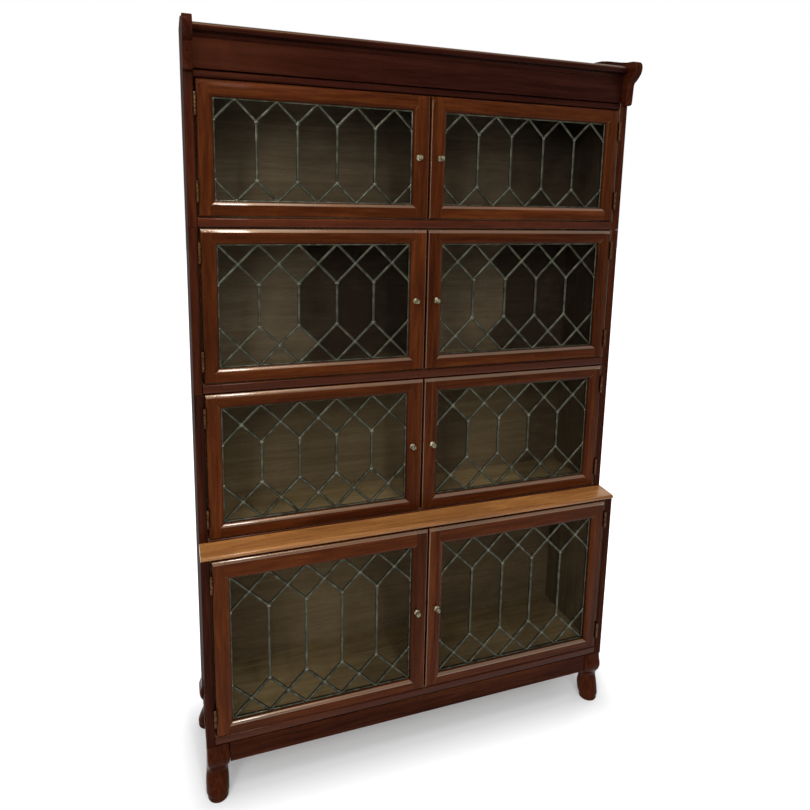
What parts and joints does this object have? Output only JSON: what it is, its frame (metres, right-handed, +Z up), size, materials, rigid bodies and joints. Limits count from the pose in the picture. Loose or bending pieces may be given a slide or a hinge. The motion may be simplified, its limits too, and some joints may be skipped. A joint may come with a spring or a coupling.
{
  "type": "sectional bookcase",
  "caption": "Tall stacking bookcase of glazed cases on short shaped legs, each case closed by a pair of side-hung leaded-glass doors, with a bracketed cornice.",
  "frame": {"origin": "on the floor, under the centre of the overall box", "axes": "+Z up; the doors face -Y; +X to the right when looking at the doors"},
  "size_m": [0.908, 0.2392, 1.463],
  "materials": {
    "carcass": "dark red-brown mahogany, glossy French polish",
    "ledge": "lighter tan-brown mahogany, glossy polish",
    "door": "red-brown mahogany, glossy French polish",
    "back": "thin dark stained board, satin",
    "glass": "clear, glossy",
    "lead": "dull grey lead came",
    "brass": "aged brass"
  },
  "bodies": {
    "case": {"base_frame": "carcass", "front_left_leg": "carcass", "front_right_leg": "carcass", "back_left_leg": "carcass", "back_right_leg": "carcass", "lower_left_side": "carcass", "lower_right_side": "carcass", "lower_bottom_board": "carcass", "lower_back_panel": "back", "middle_left_side": "carcass", "middle_right_side": "carcass", "middle_bottom_board": "carcass", "middle_back_panel": "back", "upper_left_side": "carcass", "upper_right_side": "carcass", "upper_bottom_board": "carcass", "upper_back_panel": "back", "top_left_side": "carcass", "top_right_side": "carcass", "top_bottom_board": "carcass", "top_back_panel": "back", "lower_ledge_top": "ledge", "top_case_board": "carcass", "cornice_left_cheek": "carcass", "cornice_right_cheek": "carcass", "cornice_frieze": "carcass", "cornice_top_board": "carcass", "cornice_back_board": "carcass"},
    "lower_left_door": {"lower_left_door_frame": "door", "lower_left_came_lattice": "lead", "lower_left_glass_pane": "glass", "lower_left_knob": "brass"},
    "lower_right_door": {"lower_right_door_frame": "door", "lower_right_came_lattice": "lead", "lower_right_glass_pane": "glass", "lower_right_knob": "brass"},
    "middle_left_door": {"middle_left_door_frame": "door", "middle_left_came_lattice": "lead", "middle_left_glass_pane": "glass", "middle_left_knob": "brass"},
    "middle_right_door": {"middle_right_door_frame": "door", "middle_right_came_lattice": "lead", "middle_right_glass_pane": "glass", "middle_right_knob": "brass"},
    "upper_left_door": {"upper_left_door_frame": "door", "upper_left_came_lattice": "lead", "upper_left_glass_pane": "glass", "upper_left_knob": "brass"},
    "upper_right_door": {"upper_right_door_frame": "door", "upper_right_came_lattice": "lead", "upper_right_glass_pane": "glass", "upper_right_knob": "brass"},
    "top_left_door": {"top_left_door_frame": "door", "top_left_came_lattice": "lead", "top_left_glass_pane": "glass", "top_left_knob": "brass"},
    "top_right_door": {"top_right_door_frame": "door", "top_right_came_lattice": "lead", "top_right_glass_pane": "glass", "top_right_knob": "brass"}
  },
  "joints": [
    {"name": "lower_left_door_hinge", "type": "hinge", "parent": "case", "child": "lower_left_door", "pos_m": [-0.427, -0.10785, 0.316], "axis": [0, 0, -1], "range_deg": [0, 170]},
    {"name": "lower_right_door_hinge", "type": "hinge", "parent": "case", "child": "lower_right_door", "pos_m": [0.427, -0.10785, 0.316], "axis": [0, 0, 1], "range_deg": [0, 170]},
    {"name": "middle_left_door_hinge", "type": "hinge", "parent": "case", "child": "middle_left_door", "pos_m": [-0.427, -0.05985, 0.658], "axis": [0, 0, -1], "range_deg": [0, 170]},
    {"name": "middle_right_door_hinge", "type": "hinge", "parent": "case", "child": "middle_right_door", "pos_m": [0.427, -0.05985, 0.658], "axis": [0, 0, 1], "range_deg": [0, 170]},
    {"name": "upper_left_door_hinge", "type": "hinge", "parent": "case", "child": "upper_left_door", "pos_m": [-0.427, -0.05985, 0.959], "axis": [0, 0, -1], "range_deg": [0, 170]},
    {"name": "upper_right_door_hinge", "type": "hinge", "parent": "case", "child": "upper_right_door", "pos_m": [0.427, -0.05985, 0.959], "axis": [0, 0, 1], "range_deg": [0, 170]},
    {"name": "top_left_door_hinge", "type": "hinge", "parent": "case", "child": "top_left_door", "pos_m": [-0.427, -0.05985, 1.234], "axis": [0, 0, -1], "range_deg": [0, 170]},
    {"name": "top_right_door_hinge", "type": "hinge", "parent": "case", "child": "top_right_door", "pos_m": [0.427, -0.05985, 1.234], "axis": [0, 0, 1], "range_deg": [0, 170]}
  ]
}
